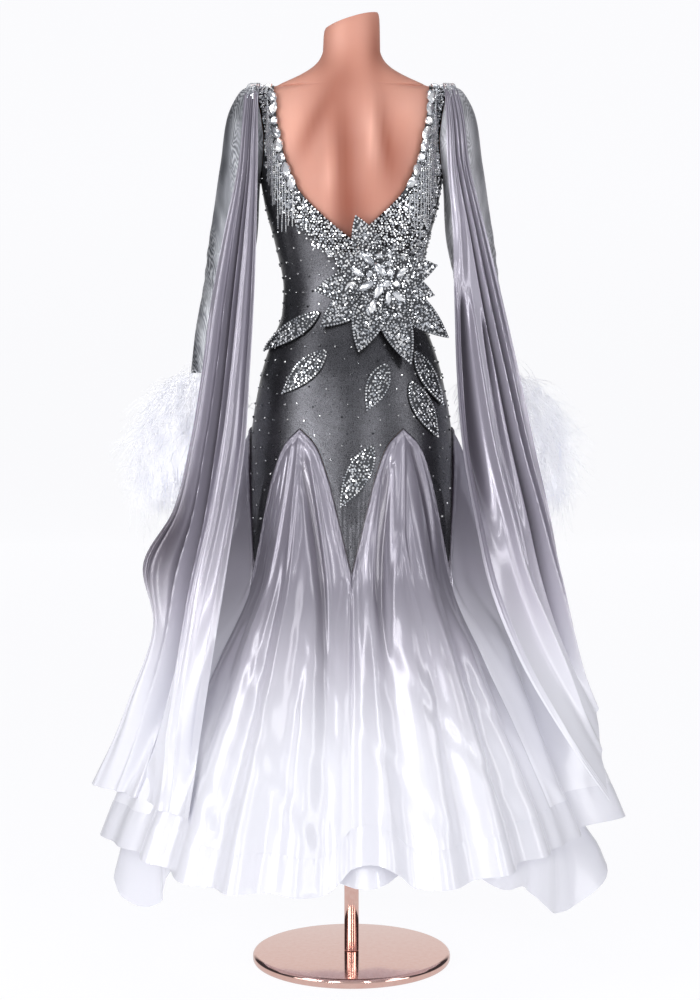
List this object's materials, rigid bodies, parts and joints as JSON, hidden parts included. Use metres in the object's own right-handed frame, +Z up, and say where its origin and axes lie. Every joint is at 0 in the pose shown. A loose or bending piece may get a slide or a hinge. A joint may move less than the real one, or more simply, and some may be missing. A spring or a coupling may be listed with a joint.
{
  "type": "ballroom dance dress on a limbless dress form with stand",
  "caption": "Floor-sweeping dance dress with godet skirt, shoulder floats, feather cuffs and a stone flower, worn by a limbless dress form on a pole and disc stand.",
  "frame": {"origin": "centre of the base disc's underside, on the floor", "axes": "+Z up along the pole; -Y towards the decorated back of the dress, +X towards the wearer's right"},
  "size_m": [0.8605, 0.7025, 1.5608],
  "materials": {
    "charcoal_foil_jersey": "dark stretch jersey with a crackled metallic foil",
    "ombre_satin": "lustrous satin, mauve grey above and white below",
    "white_satin": "white satin, stiffened at the hem",
    "silver_mesh": "fine metallic mesh with a watered pattern",
    "white_feather": "soft white feather",
    "stone_covered_net": "net closely covered with small clear stones",
    "cut_crystal": "foil-backed clear cut glass",
    "form_lacquer": "smooth rosy tan lacquer",
    "rose_gold_plate": "mirror-polished rose gold plate"
  },
  "bodies": {
    "root": {"base_disc": "rose_gold_plate", "bead_strands_left": "cut_crystal", "bead_strands_right": "cut_crystal", "dress_form": "form_lacquer", "feather_cuff_left": "white_feather", "feather_cuff_right": "white_feather", "float_left": "ombre_satin", "float_right": "ombre_satin", "flower_middle": "cut_crystal", "godet_1": "ombre_satin", "godet_2": "ombre_satin", "godet_3": "ombre_satin", "godet_4": "ombre_satin", "godet_5": "ombre_satin", "godet_6": "ombre_satin", "hem_band_back": "white_satin", "hem_band_front": "white_satin", "hip_leaf_1": "stone_covered_net", "hip_leaf_2": "stone_covered_net", "hip_leaf_3": "stone_covered_net", "hip_leaf_4": "stone_covered_net", "hip_leaf_5": "stone_covered_net", "hip_leaf_6": "stone_covered_net", "inner_petal_1": "stone_covered_net", "inner_petal_2": "stone_covered_net", "inner_petal_3": "stone_covered_net", "inner_petal_4": "stone_covered_net", "inner_petal_5": "stone_covered_net", "inner_petal_6": "stone_covered_net", "neck_stones_left": "cut_crystal", "neck_stones_right": "cut_crystal", "petal_down": "stone_covered_net", "petal_down_left": "stone_covered_net", "petal_down_right": "stone_covered_net", "petal_left": "stone_covered_net", "petal_low_right": "stone_covered_net", "petal_right": "stone_covered_net", "petal_top": "stone_covered_net", "petal_up_left": "stone_covered_net", "petal_up_right": "stone_covered_net", "pole": "rose_gold_plate", "sheath_back_left": "charcoal_foil_jersey", "sheath_back_right": "charcoal_foil_jersey", "sheath_front": "charcoal_foil_jersey", "sleeve_left": "silver_mesh", "sleeve_right": "silver_mesh", "underskirt_back": "white_satin", "underskirt_front": "white_satin"}
  },
  "joints": []
}
